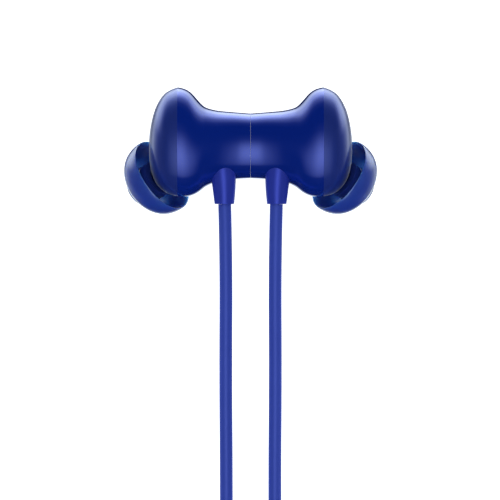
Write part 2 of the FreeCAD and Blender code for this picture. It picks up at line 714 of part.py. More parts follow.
def button(name):
    """A pad through the upper shell, with a flange that keeps it in and a plunger over the dome switch."""
    y, length = button_places()[name]
    top = POD_HEIGHT + BUTTON_PROUD
    pad = rounded_block((BUTTON_WIDTH, length, top - FLANGE_BOTTOM), y, FLANGE_BOTTOM, BUTTON_CORNER)
    rim = [e for e in pad.Edges if e.BoundBox.ZMin > top - 1e-3]
    pad = pad.makeFillet(BUTTON_EDGE, rim)
    wide = (BUTTON_WIDTH + 2 * BUTTON_FLANGE, length + 2 * BUTTON_FLANGE, BUTTON_FLANGE_THICKNESS)
    flange = rounded_block(wide, y, FLANGE_BOTTOM, BUTTON_CORNER + BUTTON_FLANGE)
    plunger = upright_rod(PLUNGER_RADIUS, y, PLUNGER_END, FLANGE_BOTTOM + 0.1)
    return one_solid(pad.fuse([flange, plunger]))


def button_hole(name):
    y, length = button_places()[name]
    size = (BUTTON_WIDTH + 2 * BUTTON_GAP, length + 2 * BUTTON_GAP, 2 * POD_WALL)
    return rounded_block(size, y, POD_HEIGHT - 1.5 * POD_WALL, BUTTON_CORNER + BUTTON_GAP)


def dome_switch(name):
    """A low metal dome on the key board, closed underneath by its base."""
    y = button_places()[name][0]
    ball = (DOME_RADIUS**2 + DOME_HEIGHT**2) / (2 * DOME_HEIGHT)
    low_z = DOME_TOP - DOME_HEIGHT
    cap = Part.makeSphere(ball, Vector(POD_X, y, DOME_TOP - ball))
    return cap.common(upright_rod(DOME_RADIUS + 1, y, low_z, DOME_TOP + 1))


def usb_block(clearance, low_x):
    """The outline of the socket from that x inwards, with rounded corners."""
    width, height = USB_WIDTH + 2 * clearance, USB_HEIGHT + 2 * clearance
    high_x = POD_X - POD_WIDTH / 2 + USB_RECESS + USB_DEPTH + clearance
    y, z = pod_place(USB_PLACE), MAIN_BOARD_TOP + USB_HEIGHT / 2
    solid = box((low_x, y - width / 2, z - height / 2), (high_x, y + width / 2, z + height / 2))
    along = [e for e in solid.Edges if abs(e.tangentAt(e.FirstParameter).x) > 0.99]
    return solid.makeFillet(USB_CORNER + clearance, along)


def usb_c_socket():
    """A metal shell, open outwards, with the contact tongue in it."""
    mouth = POD_X - POD_WIDTH / 2 + USB_RECESS
    back = box((mouth + USB_DEPTH - 1.0, -FAR, -FAR), (FAR, FAR, FAR))
    hollow = usb_block(-USB_SHELL, mouth - 1).cut(back)
    tongue_size = (USB_TONGUE[0] + 0.5, USB_TONGUE[1], USB_TONGUE[2])
    tongue_x = mouth + USB_DEPTH - 1.0 - USB_TONGUE[0] + tongue_size[0] / 2
    tongue_z = MAIN_BOARD_TOP + (USB_HEIGHT - USB_TONGUE[2]) / 2
    tongue = block(tongue_size, tongue_x, pod_place(USB_PLACE), tongue_z)
    return one_solid(usb_block(0.0, mouth).cut(hollow).fuse(tongue))


def main_board():
    return block(MAIN_BOARD, POD_X, POD_MIDDLE, BOARD_Z)


def key_board():
    """The board under the buttons, on two connector pillars that stand on the main board."""
    board = block(KEY_BOARD, POD_X, BUTTONS_Y, KEY_BOARD_Z)
    pillars = []
    for side in (-1, 1):
        y = BUTTONS_Y + side * (KEY_BOARD[1] - KEY_BOARD_PILLAR[1]) / 2
        size = (*KEY_BOARD_PILLAR, KEY_BOARD_Z - MAIN_BOARD_TOP)
        pillars.append(block(size, POD_X, y, MAIN_BOARD_TOP))
    return one_solid(board.fuse(pillars))


def microphone():
    return block(MICROPHONE, POD_X, pod_place(MICROPHONE_PLACE), MAIN_BOARD_TOP)


def microphone_gasket():
    """A soft tube from the microphone to the sound hole."""
    y = pod_place(MICROPHONE_PLACE)
    low, high = MAIN_BOARD_TOP + MICROPHONE[2], POD_HEIGHT - POD_WALL
    return upright_rod(GASKET_RADIUS, y, low, high).cut(upright_rod(SOUND_HOLE_RADIUS, y, low, high))


def shield_can():
    return block(SHIELD, POD_X, BUTTONS_Y, MAIN_BOARD_TOP)


def status_light():
    return block(LIGHT, POD_X, pod_place(LIGHT_PLACE), MAIN_BOARD_TOP)


def light_pipe():
    """A clear rod from the light to the outside of the upper shell."""
    return upright_rod(LIGHT_RADIUS, pod_place(LIGHT_PLACE), MAIN_BOARD_TOP + LIGHT[2], POD_HEIGHT)


def control_pod_cuts():
    """What both shells of the control pod leave free for the socket."""
    return usb_block(FIT_GAP, POD_X - POD_WIDTH)


def control_pod_top():
    cuts = [button_hole(name) for name in BUTTON_LENGTHS]
    cuts.append(upright_rod(SOUND_HOLE_RADIUS, pod_place(MICROPHONE_PLACE), POD_Z, POD_HEIGHT + 1))
    cuts.append(upright_rod(LIGHT_RADIUS + FIT_GAP, pod_place(LIGHT_PLACE), POD_Z, POD_HEIGHT + 1))
    return one_solid(pod_top().cut(cuts + [control_pod_cuts()]))


# Everything

parts = {"band_sleeve": band_sleeve(), "spring_wire": spring_wire(), "link_cable": link_cable()}

bud_makers = {
    "bud_rear_shell": rear_shell,
    "bud_front_shell": front_shell,
    "nozzle_mesh": nozzle_mesh,
    "ear_tip": ear_tip,
    "bud_strain_relief": bud_strain_relief,
    "cable_anchor": cable_anchor,
    "snap_magnet": snap_magnet,
    "driver_frame": driver_frame,
    "driver_magnet": driver_magnet,
    "driver_diaphragm": driver_diaphragm,
    "driver_carrier": driver_carrier,
}
pod_makers = {"pod_strain_relief": pod_strain_relief, "band_collar": band_collar}
for name, maker in {**bud_makers, **pod_makers}.items():
    shape = maker()
    parts["left_" + name] = shape
    parts["right_" + name] = mirrored(shape)

parts["left_pod_bottom"] = one_solid(pod_bottom())
parts["left_pod_top"] = one_solid(pod_top())
parts["battery_cell"] = battery_cell()
parts["protection_board"] = protection_board()

parts["right_pod_bottom"] = mirrored(one_solid(pod_bottom().cut(control_pod_cuts())))
parts["right_pod_top"] = mirrored(control_pod_top())
for name in BUTTON_LENGTHS:
    parts[name + "_button"] = mirrored(button(name))
    parts[name + "_dome"] = mirrored(dome_switch(name))
control_makers = {
    "main_board": main_board,
    "key_board": key_board,
    "shield_can": shield_can,
    "usb_c_socket": usb_c_socket,
    "microphone": microphone,
    "microphone_gasket": microphone_gasket,
    "status_light": status_light,
    "light_pipe": light_pipe,
}
for name, maker in control_makers.items():
    parts[name] = mirrored(maker())

for name, side, from_bud, from_pod in (
    ("left", -1, LEFT_FROM_BUD, LEFT_FROM_POD),
    ("right", 1, RIGHT_FROM_BUD, RIGHT_FROM_POD),
):
    print(name, "cord")
    spans = cord_spans(side, from_bud, from_pod)
    parts[name + "_cord_bud_side"], parts[name + "_cord_pod_side"] = spans

os.makedirs("parts", exist_ok=True)
for name, shape in parts.items():
    if len(shape.Solids) != 1 or not shape.isValid():
        print(f"CHECK {name}: {len(shape.Solids)} solids, valid {shape.isValid()}")
    shape.exportStep(f"parts/{name}.step")
print(len(parts), "pieces")
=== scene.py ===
"""The looks of a pair of neckband earphones, lying flat on a pale table and seen from above.

Metres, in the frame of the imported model: +Z up, +Y towards the nape of the neckband, +X towards the pod with
the buttons.
"""

import math

import bpy
from mathutils import Matrix, Quaternion, Vector


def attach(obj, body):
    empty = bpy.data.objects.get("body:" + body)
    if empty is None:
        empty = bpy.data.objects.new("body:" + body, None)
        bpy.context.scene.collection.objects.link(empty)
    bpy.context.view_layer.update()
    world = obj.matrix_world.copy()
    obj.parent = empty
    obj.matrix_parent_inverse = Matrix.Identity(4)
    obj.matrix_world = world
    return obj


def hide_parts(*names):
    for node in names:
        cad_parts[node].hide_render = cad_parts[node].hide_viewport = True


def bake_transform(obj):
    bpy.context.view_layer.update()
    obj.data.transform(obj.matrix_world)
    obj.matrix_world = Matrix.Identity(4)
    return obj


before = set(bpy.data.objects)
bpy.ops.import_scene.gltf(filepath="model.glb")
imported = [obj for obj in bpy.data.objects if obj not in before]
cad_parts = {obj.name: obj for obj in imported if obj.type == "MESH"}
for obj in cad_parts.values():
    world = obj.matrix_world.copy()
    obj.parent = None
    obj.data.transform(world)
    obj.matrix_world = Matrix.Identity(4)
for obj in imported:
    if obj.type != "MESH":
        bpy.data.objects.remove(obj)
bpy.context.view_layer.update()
bpy.ops.object.select_all(action="DESELECT")

MM = 0.001
LEFT, RIGHT = -1, 1
SIDE_NAMES = {LEFT: "left", RIGHT: "right"}

# Sizes, in millimetres
POD_X = 64.7
POD_FRONT = -80.0
POD_HEIGHT = 9.0
POD_RELIEF_LENGTH = 8.0
NAPE_Y = 20.3
BUD_Y = 28.0
BUD_Z = 8.49
MATING_GAP = 0.05  # from each bud's mating face to the middle, in the solids
CORD_DIAMETER = 2.16
# The cord's way out of a bud: outwards from its mating face, up from its axis and along Y
RELIEF_REACH = 4.25
RELIEF_DEPTH = 2.0
RELIEF_END = -9.7


def mm(*numbers):
    """Millimetres to metres."""
    return Vector([n * MM for n in numbers])


# Camera: straight above the buds, with a long lens

VIEW_WIDTH = 83.33
VIEW_MIDDLE_X = -0.09
VIEW_MIDDLE_Y = 10.67
CAMERA_HEIGHT = 900.0
FILM_WIDTH = 36.0


def add_camera():
    camera = bpy.data.cameras.new("camera")
    camera.sensor_width = FILM_WIDTH
    camera.lens = FILM_WIDTH * CAMERA_HEIGHT / VIEW_WIDTH
    camera.clip_start = 0.01
    camera.clip_end = 50.0
    holder = bpy.data.objects.new("camera", camera)
    holder.location = mm(VIEW_MIDDLE_X, VIEW_MIDDLE_Y, CAMERA_HEIGHT + BUD_Z)
    bpy.context.scene.collection.objects.link(holder)
    bpy.context.scene.camera = holder


add_camera()


# Modelling helpers

MERGE_DISTANCE = 1e-6


def active(piece):
    """Makes a piece the only selected one."""
    bpy.ops.object.select_all(action="DESELECT")
    piece.select_set(True)
    bpy.context.view_layer.objects.active = piece
    return piece


def edit(piece):
    """Puts a piece in edit mode with nothing selected."""
    active(piece)
    bpy.ops.object.mode_set(mode="EDIT")
    bpy.ops.mesh.select_all(action="DESELECT")


def done():
    bpy.ops.object.mode_set(mode="OBJECT")


def apply_modifiers(piece):
    active(piece)
    for modifier in list(piece.modifiers):
        bpy.ops.object.modifier_apply(modifier=modifier.name)


def subdivided(piece, levels=2):
    modifier = piece.modifiers.new("smooth", "SUBSURF")
    modifier.levels = levels
    modifier.render_levels = levels
    apply_modifiers(piece)
    return piece


def smooth(piece, degrees=35):
    active(piece)
    bpy.ops.object.shade_smooth_by_angle(angle=math.radians(degrees))
    return piece


def tidy_normals(piece):
    edit(piece)
    bpy.ops.mesh.select_all(action="SELECT")
    bpy.ops.mesh.remove_doubles(threshold=MERGE_DISTANCE)
    bpy.ops.mesh.normals_make_consistent(inside=False)
    done()
    return piece


def stand(piece, origin, rotation):
    """Turns a piece built about the origin, carries it to its place and keeps that place in its mesh."""
    active(piece)
    piece.matrix_world = Matrix.Translation(origin) @ rotation.to_matrix().to_4x4()
    bpy.ops.object.transform_apply(location=True, rotation=True, scale=True)
    return piece


def volume(piece):
    """The volume a mesh encloses, negative where its faces point inwards."""
    mesh = piece.data
    mesh.calc_loop_triangles()
    places = [vertex.co for vertex in mesh.vertices]
    corners = ([places[i] for i in triangle.vertices] for triangle in mesh.loop_triangles)
    return sum(a.dot(b.cross(c)) for a, b, c in corners) / 6


def facing_out(piece):
    """Turns the faces of a finished piece round if they point inwards, inner walls with them."""
    if volume(piece) < 0:
        edit(piece)
        bpy.ops.mesh.select_all(action="SELECT")
        bpy.ops.mesh.flip_normals()
        done()
    return piece


def mirrored(piece, name):
    """A copy on the other side of the object, with its own mesh."""
    active(piece)
    bpy.ops.object.duplicate()
    copy = bpy.context.active_object
    copy.name = name
    copy.scale.x = -1
    bpy.ops.object.transform_apply(location=True, rotation=True, scale=True)
    return facing_out(copy)


def ringed(name, rings, sides=40, close="both"):
    """A turned or lofted form along +Z, extruded ring by ring from a circle.

    A ring is (height along Z, half width in X, half width in Y, middle in X), in millimetres. Both ends
    are closed, or only the last, or none where the last ring comes back to the first.
    """
    z, half_x, half_y, middle = rings[0]
    bpy.ops.object.select_all(action="DESELECT")
    bpy.ops.mesh.primitive_circle_add(vertices=sides, radius=MM, location=mm(middle, 0, z))
    piece = bpy.context.active_object
    piece.name = name
    bpy.ops.object.transform_apply(location=True, rotation=False, scale=False)
    bpy.ops.object.mode_set(mode="EDIT")
    bpy.ops.mesh.select_mode(type="EDGE")
    bpy.ops.mesh.select_all(action="SELECT")
    bpy.ops.transform.resize(value=(half_x, half_y, 1), center_override=mm(middle, 0, z))
    last = rings[0]
    for ring in rings[1:]:
        z, half_x, half_y, middle = ring
        step = mm(middle - last[3], 0, z - last[0])
        bpy.ops.mesh.extrude_region_move(TRANSFORM_OT_translate={"value": step})
        growth = (half_x / last[1], half_y / last[2], 1)
        bpy.ops.transform.resize(value=growth, center_override=mm(middle, 0, z))
        last = ring
    if close == "last":
        bpy.ops.mesh.edge_face_add()
    if close == "both":
        bpy.ops.mesh.select_all(action="SELECT")
        bpy.ops.mesh.fill_holes(sides=0)
    done()
    return tidy_normals(piece)


# Cords

STRAIGHT_FROM_BUD = 9.8
LEAN_FROM_BUD = -0.26
STRAIGHT_FROM_POD = 9.0
# The corners of each route from the bud and then to the pod: steps outwards and along Y from the boot's end
# there, and height
CORD_RUNS = {
    LEFT: (
        [
            (-0.12, -28.30, 5.00),
            (-0.26, -46.80, 1.20),
            (-0.20, -74.30, 1.10),
            (0.50, -108.30, 1.12),
            (4.70, -140.30, 1.10),
        ],
        [(-40.70, -57.50, 1.12), (-17.70, -59.00, 1.10), (-2.20, -41.50, 1.12), (1.20, -24.50, 1.30)],
    ),
    RIGHT: (
        [
            (-0.12, -28.50, 5.00),
            (-0.26, -46.80, 1.20),
            (-0.08, -75.30, 1.10),
            (1.10, -110.30, 1.12),
            (6.70, -143.30, 1.10),
        ],
        [(-36.70, -60.50, 1.12), (-13.70, -58.50, 1.10), (-0.20, -40.00, 1.12), (1.40, -23.50, 1.30)],
    ),
}


def route_points(side):
    """The corners of a cord's route, and the middle of the run where its two spans meet."""
    from_bud, from_pod = CORD_RUNS[side]
    bud_x, bud_y, bud_z = RELIEF_REACH + MATING_GAP, BUD_Y + RELIEF_END, BUD_Z + RELIEF_DEPTH
    pod_y = POD_FRONT - POD_RELIEF_LENGTH
    corners = [(bud_x, bud_y, bud_z), (bud_x + LEAN_FROM_BUD, bud_y - STRAIGHT_FROM_BUD, bud_z)]
    corners += [(bud_x + out, bud_y + along, z) for out, along, z in from_bud]
    corners += [(POD_X + out, pod_y + along, z) for out, along, z in from_pod]
    corners += [(POD_X, y, POD_HEIGHT / 2) for y in (pod_y - STRAIGHT_FROM_POD, pod_y)]
    corners = [mm(side * x, y, z) for x, y, z in corners]
    meeting = (corners[1 + len(from_bud)] + corners[2 + len(from_bud)]) / 2
    return corners, meeting


def smooth_line(corners, steps=16):
    """Points on the smooth curve that has these corners as its control points."""
    curve = bpy.data.curves.new("route", "CURVE")
    curve.dimensions = "3D"
    curve.resolution_u = steps
    spline = curve.splines.new("NURBS")
    spline.points.add(len(corners) - 1)
    for point, corner in zip(spline.points, corners):
        point.co = (*corner, 1)
    spline.order_u = 3
    spline.use_endpoint_u = True
    holder = bpy.data.objects.new("route", curve)
    bpy.context.scene.collection.objects.link(holder)
    bpy.context.view_layer.update()
    mesh = bpy.data.meshes.new_from_object(holder)
    points = [vertex.co.copy() for vertex in mesh.vertices]
    bpy.data.objects.remove(holder)
    bpy.data.meshes.remove(mesh)
    return points


def tube(name, points, radius, around=10):
    """A round mesh tube that follows closely spaced points."""
    curve = bpy.data.curves.new(name, "CURVE")
    curve.dimensions = "3D"
    curve.bevel_depth = radius
    curve.bevel_resolution = around
    curve.use_fill_caps = True
    spline = curve.splines.new("POLY")
    spline.points.add(len(points) - 1)
    for point, place in zip(spline.points, points):
        point.co = (*place, 1)
    holder = bpy.data.objects.new(name, curve)
    bpy.context.scene.collection.objects.link(holder)
    active(holder)
    bpy.ops.object.convert(target="MESH")
    return tidy_normals(bpy.context.active_object)


def add_cords(side):
    """A cord as two spans that meet where it lies lowest: one from the bud and one to the pod."""
    name = SIDE_NAMES[side]
    corners, meeting = route_points(side)
    line = smooth_line(corners)
    split = min(range(len(line)), key=lambda i: (line[i] - meeting).length)
    spans = {"bud": line[: split + 1], "pod": line[split:]}
    made = []
    for end, points in spans.items():
        span = smooth(tube(f"{name}_cord_{end}_span", points, CORD_DIAMETER / 2 * MM), 60)
        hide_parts(f"{name}_cord_{end}_side")
        made.append(span)
    bud_span, pod_span = made
    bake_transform(bud_span)
    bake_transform(pod_span)
    return made


cords = [span for side in (LEFT, RIGHT) for span in add_cords(side)]


# Materials

CLOUD_SCALE = 60.0
BRUSH_SCALE = 3000.0
BRUSH_DEPTH = 0.00001
GRAIN_STRENGTH = 0.5


def set_inputs(node, values):
    for name, value in values.items():
        node.inputs[name].default_value = value


def new_material(name, colour, roughness, metallic=0.0, **others):
    """A material of one shader, and the tools to add to it: its nodes, its links and the shader."""
    material = bpy.data.materials.new(name)
    material.use_nodes = True
    nodes, links = material.node_tree.nodes, material.node_tree.links
    shader = nodes["Principled BSDF"]
    set_inputs(shader, {"Base Color": (*colour, 1), "Roughness": roughness, "Metallic": metallic})
    set_inputs(shader, {key.replace("_", " "): value for key, value in others.items()})
    return material, nodes, links, shader


def object_noise(nodes, links, scale, detail=3.0, roughness=0.5):
    """Noise on Object coordinates. The scale is in cells to the metre."""
    place = nodes.new("ShaderNodeTexCoord")
    noise = nodes.new("ShaderNodeTexNoise")
    set_inputs(noise, {"Scale": scale, "Detail": detail, "Roughness": roughness})
    links.new(place.outputs["Object"], noise.inputs["Vector"])
    return noise


def vary_colour(nodes, links, shader, noise, dark, light):
    ramp = nodes.new("ShaderNodeValToRGB")
    ramp.color_ramp.elements[0].position = 0.3
    ramp.color_ramp.elements[1].position = 0.7
    ramp.color_ramp.elements[0].color = (*dark, 1)
    ramp.color_ramp.elements[1].color = (*light, 1)
    links.new(noise.outputs["Fac"], ramp.inputs["Fac"])
    links.new(ramp.outputs["Color"], shader.inputs["Base Color"])


def vary_roughness(nodes, links, shader, noise, low, high):
    spread = nodes.new("ShaderNodeMapRange")
    set_inputs(spread, {"To Min": low, "To Max": high})
    links.new(noise.outputs["Fac"], spread.inputs["Value"])
    links.new(spread.outputs["Result"], shader.inputs["Roughness"])


def add_grain(nodes, links, shader, noise, depth):
    bump = nodes.new("ShaderNodeBump")
    set_inputs(bump, {"Strength": GRAIN_STRENGTH, "Distance": depth})
    links.new(noise.outputs["Fac"], bump.inputs["Height"])
    links.new(bump.outputs["Normal"], shader.inputs["Normal"])


def moulded(name, dark, light, roughness, grain_scale, grain_depth, **others):
    """A moulded material: slight clouding of its colour, uneven gloss and a fine surface grain."""
    material, nodes, links, shader = new_material(name, light, roughness, **others)
    clouds = object_noise(nodes, links, CLOUD_SCALE)
    vary_colour(nodes, links, shader, clouds, dark, light)
    vary_roughness(nodes, links, shader, clouds, roughness * 0.9, roughness * 1.1)
    grain = object_noise(nodes, links, grain_scale, 4.0, 0.6)
    add_grain(nodes, links, shader, grain, grain_depth)
    return material


def brushed(name, colour, roughness, stretch):
    """Metal with fine lines along one axis."""
    material, nodes, links, shader = new_material(name, colour, roughness, metallic=1.0)
    place = nodes.new("ShaderNodeTexCoord")
    mapping = nodes.new("ShaderNodeMapping")
    mapping.inputs["Scale"].default_value = stretch
    noise = nodes.new("ShaderNodeTexNoise")
    set_inputs(noise, {"Scale": BRUSH_SCALE, "Detail": 2.0})
    links.new(place.outputs["Object"], mapping.inputs["Vector"])
    links.new(mapping.outputs["Vector"], noise.inputs["Vector"])
    vary_roughness(nodes, links, shader, noise, roughness * 0.7, roughness * 1.4)
    add_grain(nodes, links, shader, noise, BRUSH_DEPTH)
    return material


gloss_blue = moulded(
    "gloss_blue_plastic",
    (0.0022, 0.0200, 0.2600),
    (0.0026, 0.0230, 0.2800),
    0.11,
    2500.0,
    0.000003,
    metallic=0.42,
    Coat_Weight=1.0,
    Coat_Roughness=0.03,
    Specular_IOR_Level=0.25,
)
# The shells' glossy blue again for the front half, with a lighter and greyer base colour. That lighter colour
# is painted light: it stands in for the brighter light falling on the front half. This copy is also rougher,
# with sheen at its edges.
front_shell_painted_lighter = moulded(
    "front_shell_blue_painted_lighter",
    (0.0090, 0.0290, 0.2500),
    (0.0100, 0.0320, 0.2700),
    0.35,
    2500.0,
    0.000003,
    metallic=0.48,
    Coat_Weight=1.0,
    Coat_Roughness=0.08,
    Specular_IOR_Level=0.6,
    Sheen_Weight=0.5,
    Sheen_Roughness=0.25,
)
satin_blue = moulded(
    "satin_blue_plastic", (0.018, 0.040, 0.270), (0.021, 0.046, 0.300), 0.38, 9000.0, 0.00002, metallic=0.1
)
soft_blue = moulded(
    "soft_blue_rubber",
    (0.022, 0.040, 0.385),
    (0.026, 0.045, 0.415),
    0.30,
    7000.0,
    0.00001,
    metallic=0.35,
)
cord_blue = moulded(
    "cord_blue_rubber", (0.026, 0.052, 0.370), (0.029, 0.058, 0.400), 0.40, 7000.0, 0.00001, metallic=0.15
)
tip_blue = moulded(
    "tip_blue_silicone",
    (0.0090, 0.0330, 0.2550),
    (0.0105, 0.0360, 0.2700),
    0.26,
    5000.0,
    0.000006,
    Subsurface_Weight=0.8,
    Subsurface_Scale=0.0015,
    Subsurface_Radius=(0.8, 0.95, 1.1),
    Specular_IOR_Level=0.9,
    Coat_Weight=1.0,
    Coat_Roughness=0.18,
    Sheen_Weight=0.3,
    Sheen_Roughness=0.25,
)
band_blue = moulded(
    "band_blue_silicone", (0.022, 0.045, 0.270), (0.026, 0.052, 0.300), 0.5, 6000.0, 0.00003, Sheen_Weight=0.2
)
steel = brushed("steel", (0.62, 0.63, 0.65), 0.3, (1, 1, 14))
foil = brushed("foil", (0.75, 0.76, 0.78), 0.35, (1, 9, 1))
board_green = moulded("board_green", (0.010, 0.085, 0.035), (0.014, 0.110, 0.045), 0.4, 4000.0, 0.00001)
black_plastic = moulded("black_plastic", (0.010, 0.010, 0.011), (0.016, 0.016, 0.017), 0.45, 6000.0, 0.00002)
light_clear = moulded("light_clear", (0.82, 0.86, 0.90), (0.86, 0.90, 0.94), 0.18, 3000.0, 0.000004)


def dress(piece, material):
    piece.data.materials.clear()
    piece.data.materials.append(material)
    return piece


for cord in cords:
    dress(cord, cord_blue)


# Buds

# A ring of a shell: reach from the mating plane, top and bottom from the neck's axis, half depth
REAR_RINGS = [
    (0.000, 5.42, -5.40, 4.73),
    (0.002, 5.43, -5.41, 4.74),
    (0.120, 5.43, -5.41, 4.74),
    (1.20, 5.51, -5.46, 4.80),
    (2.30, 5.60, -5.53, 4.92),
    (3.70, 5.72, -5.67, 5.18),
    (5.00, 5.84, -5.87, 5.49),
    (6.10, 6.02, -6.18, 5.80),
    (7.00, 6.26, -6.56, 6.06),
    (7.70, 6.58, -6.98, 6.26),
    (8.40, 7.22, -7.54, 6.45),
    (9.10, 8.02, -7.98, 6.63),
    (9.80, 8.78, -8.28, 6.79),
    (10.50, 9.30, -8.44, 6.92),
    (11.20, 9.60, -8.50, 7.01),
    (11.80, 9.75, -8.46, 7.06),
    (12.05, 9.79, -8.42, 7.08),
    (12.15, 9.80, -8.40, 7.08),
]
FRONT_RINGS = [
    (12.15, 9.80, -8.40, 7.08),
    (12.28, 9.76, -8.38, 7.055),
    (12.60, 9.66, -8.32, 7.00),
    (13.30, 9.38, -8.14, 6.86),
    (14.00, 8.98, -7.84, 6.67),
    (14.60, 8.42, -7.44, 6.38),
    (15.20, 7.60, -6.90, 5.86),
    (15.75, 6.52, -6.16, 5.14),
    (16.20, 5.26, -5.26, 4.20),
    (16.56, 3.74, -4.10, 3.04),
    (16.80, 2.20, -2.78, 1.82),
    (16.92, 0.90, -1.50, 0.76),
]
SHELL_WALL = 1.1
SPREAD_FROM = 0.5  # reach from which the rings are spread
SPREAD_ROUNDS = 12
BUD_TURN = Quaternion((0, 1, 0), -math.pi / 2) @ Quaternion((0, 0, 1), math.pi / 2)
LEFT_BUD = mm(-MATING_GAP, BUD_Y, BUD_Z)
FACE_GAP = 0.004  # from each bud's mating face to the middle
TOUCHING = mm(MATING_GAP - FACE_GAP, 0, 0)


def bud_rings(rings):
    return [(reach, (top - low) / 2, depth, (top + low) / 2) for reach, top, low, depth in rings]


def spread_rings(rings):
    """Rings moved so that the subdivided surface runs through the places given.

    The rings at the mating face stay where they are, which keeps its edge sharp.
    """
    wanted = [Vector(ring) for ring in rings]
    moved = [ring.copy() for ring in wanted]
    for _ in range(SPREAD_ROUNDS):
        for i in range(1, len(rings) - 1):
            if wanted[i][0] > SPREAD_FROM:
                moved[i] += wanted[i] - (moved[i - 1] + 4 * moved[i] + moved[i + 1]) / 6
    return [tuple(ring) for ring in moved]


def hollow(piece, wall):
    """Gives an open shell its thickness, inwards."""
    modifier = piece.modifiers.new("wall", "SOLIDIFY")
    modifier.thickness = wall * MM
    modifier.offset = -1
    modifier.use_even_offset = False
    apply_modifiers(piece)
    return piece


def bud_shell(name, rings, finish):
    """Half a bud's shell, from its open edge at the seam to its closed end."""
    shell = ringed(name, spread_rings(bud_rings(rings)), 48, close="last")
    subdivided(shell, 2)
    hollow(shell, SHELL_WALL)
    stand(shell, LEFT_BUD + TOUCHING, BUD_TURN)
    return smooth(dress(shell, finish), 40)


TIP_CENTRE = (15.03, -5.02, -2.15)
TIP_DIRECTION = Vector((-0.728, -0.491, -0.479)).normalized()
TIP_ORIGIN = LEFT_BUD + mm(-TIP_CENTRE[0], TIP_CENTRE[1], TIP_CENTRE[2])
TIP_TURN = Vector((0, 0, 1)).rotation_difference(TIP_DIRECTION)


def turned(name, outline, sides):
    """A form turned about +Z from (height, radius) pairs that go once round its wall."""
    rings = [(height, radius, radius, 0) for height, radius in outline]
    return ringed(name, rings + rings[:1], sides, close="none")


# (height, radius) round the wall, from the skirt's rim over the outside to the mouth and back inside
TIP_OUTLINE = [
    (-0.43, 6.37),
    (-0.48, 6.42),
    (-0.44, 6.48),
    (0.15, 6.51),
    (0.80, 6.45),
    (1.45, 6.32),
    (2.10, 6.10),
    (2.75, 5.76),
    (3.38, 5.26),
    (3.96, 4.60),
    (4.50, 3.80),
    (4.96, 3.00),
    (5.32, 2.42),
    (5.52, 2.10),
    (5.60, 1.92),
    (5.56, 1.86),
    (5.52, 1.88),
    (5.49, 2.30),
    (5.47, 2.50),
    (4.80, 2.52),
    (2.10, 2.52),
    (1.96, 2.62),
    (1.96, 3.02),
    (2.10, 3.10),
    (3.90, 3.12),
    (4.20, 3.28),
    (4.22, 3.60),
    (3.75, 4.38),
    (3.10, 4.96),
    (2.35, 5.40),
    (1.45, 5.76),
    (0.60, 6.06),
    (0.00, 6.25),
    (-0.33, 6.33),
]
NOZZLE_OUTLINE = [
    (0.60, 1.72),
    (0.60, 3.05),
    (1.70, 3.05),
    (1.80, 2.95),
    (1.80, 2.30),
    (1.95, 2.24),
    (4.45, 2.24),
    (4.60, 2.42),
    (5.10, 2.45),
    (5.23, 2.34),
    (5.25, 1.80),
    (5.19, 1.72),
]

BOOT_OUTSET = 0.06
BOOT_ORIGIN = LEFT_BUD + mm(-RELIEF_REACH - BOOT_OUTSET, RELIEF_END, RELIEF_DEPTH)
BOOT_TURN = Quaternion((1, 0, 0), -math.pi / 2)
# A ring of the boot: height up from the cord's end, half width, half depth, middle
BOOT_RINGS = [
    (0.00, 1.10, 1.10, 0.00),
    (0.00, 1.50, 1.50, 0.00),
    (0.03, 1.62, 1.62, 0.00),
    (0.12, 1.65, 1.65, 0.00),
    (0.80, 1.73, 1.70, 0.00),
    (2.20, 1.88, 1.82, -0.03),
    (3.60, 2.01, 1.93, -0.08),
    (4.80, 2.12, 2.02, -0.18),
    (5.60, 2.18, 2.08, -0.26),
    (6.30, 2.20, 2.10, -0.30),
    (6.55, 1.90, 1.80, -0.30),
    (6.60, 1.00, 1.00, -0.30),
]


def add_left_bud():
    """The left bud's shells, nozzle, ear tip and strain relief, as a dict of pieces."""
    rear = bud_shell("left_bud_rear_half", REAR_RINGS[::-1], gloss_blue)
    # The front half takes the copy of the shell plastic whose lighter base colour is painted light.
    front = bud_shell("left_bud_front_half", FRONT_RINGS, front_shell_painted_lighter)
    tip = subdivided(turned("left_silicone_tip", TIP_OUTLINE, 48), 1)
    stand(tip, TIP_ORIGIN, TIP_TURN)
    smooth(dress(tip, tip_blue), 60)
    nozzle = turned("left_sound_nozzle", NOZZLE_OUTLINE, 48)
    stand(nozzle, TIP_ORIGIN, TIP_TURN)
    smooth(dress(nozzle, satin_blue), 30)
    relief = subdivided(ringed("left_cord_boot", BOOT_RINGS, 32), 2)
    stand(relief, BOOT_ORIGIN, BOOT_TURN)
    smooth(dress(relief, soft_blue), 40)
    return {"rear": rear, "front": front, "tip": tip, "nozzle": nozzle, "boot": relief}


# What each piece of a bud is called, and the node, the body and the slot it takes
BUD_PARTS = {
    "rear": ("bud_rear_half", "bud_rear_shell", "bud", "bud_shell"),
    "front": ("bud_front_half", "bud_front_shell", "bud", "bud_shell"),
    "tip": ("silicone_tip", "ear_tip", "tip", "tip_silicone"),
    "nozzle": ("sound_nozzle", "bud_front_shell", "bud", "bud_shell"),
    "boot": ("cord_boot", "bud_strain_relief", "bud", "soft_plastic"),
}
left_bud = add_left_bud()
for part, (piece_name, node, body, finish) in BUD_PARTS.items():
    both = {LEFT: left_bud[part], RIGHT: mirrored(left_bud[part], f"right_{piece_name}")}
    for side, piece in both.items():
        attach(piece, f"{SIDE_NAMES[side]}_{body}")
        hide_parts(f"{SIDE_NAMES[side]}_{node}")


# Neckband

